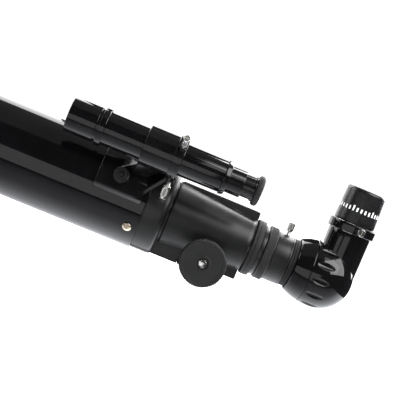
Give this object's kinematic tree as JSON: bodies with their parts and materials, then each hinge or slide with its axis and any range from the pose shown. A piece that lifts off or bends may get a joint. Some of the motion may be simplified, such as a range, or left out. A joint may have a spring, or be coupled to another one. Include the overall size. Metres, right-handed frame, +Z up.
{
  "type": "refractor telescope",
  "caption": "Small long-tube refractor telescope with rack-and-pinion focuser, ninety degree diagonal, eyepiece and an adjustable finder on a saddle bracket",
  "frame": {"origin": "middle of the flat underside of the dovetail bar, where a mount's saddle carries the telescope", "axes": "+X along the optical axis from the objective to the eyepiece end, +Z up, +Y across; the finder leans to -Y and the focus knobs lie along Y"},
  "size_m": [0.7441, 0.1219, 0.1324],
  "materials": {
    "gloss_black_paint": "high-gloss black enamel on aluminium tube",
    "gloss_black_plastic": "polished black moulded plastic",
    "satin_black_plastic": "satin black moulded plastic with a broad soft highlight",
    "knurled_black": "black, knurled grip",
    "knob_plastic": "flat dark grey-black, ribbed edge",
    "matte_black": "anti-reflection matte black",
    "chrome": "bright chrome plate",
    "steel": "plain machined steel",
    "brass": "plain brass foil",
    "rubber": "soft black rubber",
    "lens_glass": "polished, thinly coated optical glass"
  },
  "bodies": {
    "tube": {"main_tube": "gloss_black_paint", "tube_baffle": "matte_black", "objective_cell": "satin_black_plastic", "crown_lens": "lens_glass", "flint_lens": "lens_glass", "lens_spacer": "brass", "lens_retaining_ring": "matte_black", "tube_screw_near": "chrome", "tube_screw_far": "chrome", "tube_screw_upper": "chrome", "dovetail_bar": "satin_black_plastic", "dovetail_bolt_front": "steel", "dovetail_bolt_rear": "steel", "focuser_housing": "satin_black_plastic", "pinion_cover": "satin_black_plastic", "cover_screw_front": "steel", "cover_screw_rear": "steel", "bracket_stud_lower": "steel", "bracket_stud_upper": "steel", "finder_bracket": "satin_black_plastic"},
    "dew_shield": {"dew_shield": "gloss_black_paint"},
    "drawtube": {"drawtube": "chrome", "rack": "matte_black", "drawtube_end_ring": "satin_black_plastic", "threaded_neck": "satin_black_plastic", "knurled_ring": "knurled_black", "eyepiece_holder": "satin_black_plastic"},
    "pinion": {"pinion_shaft": "steel", "focus_knob_left": "knob_plastic", "focus_knob_right": "knob_plastic", "knob_screw_left": "chrome", "knob_screw_right": "chrome"},
    "holder_thumbscrew": {"holder_thumbscrew": "chrome"},
    "diagonal": {"diagonal_nosepiece": "matte_black", "diagonal_front_shell": "gloss_black_plastic", "diagonal_rear_shell": "gloss_black_plastic", "prism": "lens_glass", "prism_holder": "matte_black", "socket_ring": "satin_black_plastic"},
    "socket_thumbscrew": {"socket_thumbscrew": "chrome"},
    "eyepiece": {"eyepiece_barrel": "chrome", "eyepiece_body": "satin_black_plastic", "eyepiece_field_lens": "lens_glass", "eyepiece_eye_lens": "lens_glass"},
    "finder_pivot": {"finder_o_ring": "rubber"},
    "finder": {"finder_tube": "gloss_black_paint", "finder_objective_cell": "gloss_black_paint", "finder_objective_lens": "lens_glass", "finder_lock_ring": "gloss_black_paint", "finder_eye_tube": "satin_black_plastic", "finder_reticle": "matte_black"},
    "finder_eyepiece": {"finder_eyepiece": "satin_black_plastic", "finder_eye_lens": "lens_glass", "finder_eyecup": "rubber"},
    "finder_screw_1": {"finder_screw_1": "chrome"},
    "finder_screw_2": {"finder_screw_2": "chrome"},
    "finder_screw_3": {"finder_screw_3": "chrome"},
    "bracket_nut_lower": {"bracket_nut_lower": "satin_black_plastic"},
    "bracket_nut_upper": {"bracket_nut_upper": "satin_black_plastic"}
  },
  "joints": [
    {"name": "dew_shield_pull", "type": "slide", "parent": "tube", "child": "dew_shield", "axis": [-1, 0, 0], "range_m": [0, 0.03]},
    {"name": "focus_travel", "type": "slide", "parent": "tube", "child": "drawtube", "axis": [1, 0, 0], "range_m": [0, 0.1]},
    {"name": "pinion_turn", "type": "hinge", "parent": "tube", "child": "pinion", "pos_m": [0.2434, 0, 0.0309], "axis": [0, 1, 0], "range_deg": [0, 1105]},
    {"name": "holder_thumbscrew_turn", "type": "hinge", "parent": "drawtube", "child": "holder_thumbscrew", "pos_m": [0.3015, 0, 0.0817], "axis": [0, 0, 1], "range_deg": [0, 1080]},
    {"name": "diagonal_turn", "type": "hinge", "parent": "drawtube", "child": "diagonal", "pos_m": [0.3, 0, 0.054], "axis": [1, 0, 0], "continuous": true},
    {"name": "socket_thumbscrew_turn", "type": "hinge", "parent": "diagonal", "child": "socket_thumbscrew", "pos_m": [0.3478, 0, 0.0993], "axis": [0.1392, -0.9903, 0], "range_deg": [0, 1080]},
    {"name": "eyepiece_pull", "type": "slide", "parent": "diagonal", "child": "eyepiece", "axis": [0, 0, 1], "range_m": [0, 0.03]},
    {"name": "finder_pitch", "type": "hinge", "parent": "tube", "child": "finder_pivot", "pos_m": [0.171, -0.04568, 0.09968], "axis": [0, 0.7071, 0.7071], "range_deg": [-1.2, 1.2]},
    {"name": "finder_yaw", "type": "hinge", "parent": "finder_pivot", "child": "finder", "pos_m": [0.171, -0.04568, 0.09968], "axis": [0, -0.7071, 0.7071], "range_deg": [-1.2, 1.2]},
    {"name": "finder_focus", "type": "slide", "parent": "finder", "child": "finder_eyepiece", "axis": [1, 0, 0], "range_m": [-0.006, 0.008]},
    {"name": "finder_screw_1_turn", "type": "hinge", "parent": "tube", "child": "finder_screw_1", "pos_m": [0.1952, -0.04568, 0.09968], "axis": [0, -0.866, 0.5], "range_deg": [-360, 1080]},
    {"name": "finder_screw_2_turn", "type": "hinge", "parent": "tube", "child": "finder_screw_2", "pos_m": [0.1952, -0.04568, 0.09968], "axis": [0, 0, -1], "range_deg": [-360, 1080]},
    {"name": "finder_screw_3_turn", "type": "hinge", "parent": "tube", "child": "finder_screw_3", "pos_m": [0.1952, -0.04568, 0.09968], "axis": [0, 0.866, 0.5], "range_deg": [-360, 1080]},
    {"name": "bracket_nut_lower_turn", "type": "hinge", "parent": "tube", "child": "bracket_nut_lower", "pos_m": [0.159, -0.04172, 0.07086], "axis": [0, -0.9272, 0.3746], "range_deg": [0, 1440]},
    {"name": "bracket_nut_upper_turn", "type": "hinge", "parent": "tube", "child": "bracket_nut_upper", "pos_m": [0.159, -0.01686, 0.09572], "axis": [0, -0.3746, 0.9272], "range_deg": [0, 1440]}
  ],
  "couplings": [
    {"joint": "pinion_turn", "follows": "focus_travel", "rad_per_m": 192.31}
  ]
}
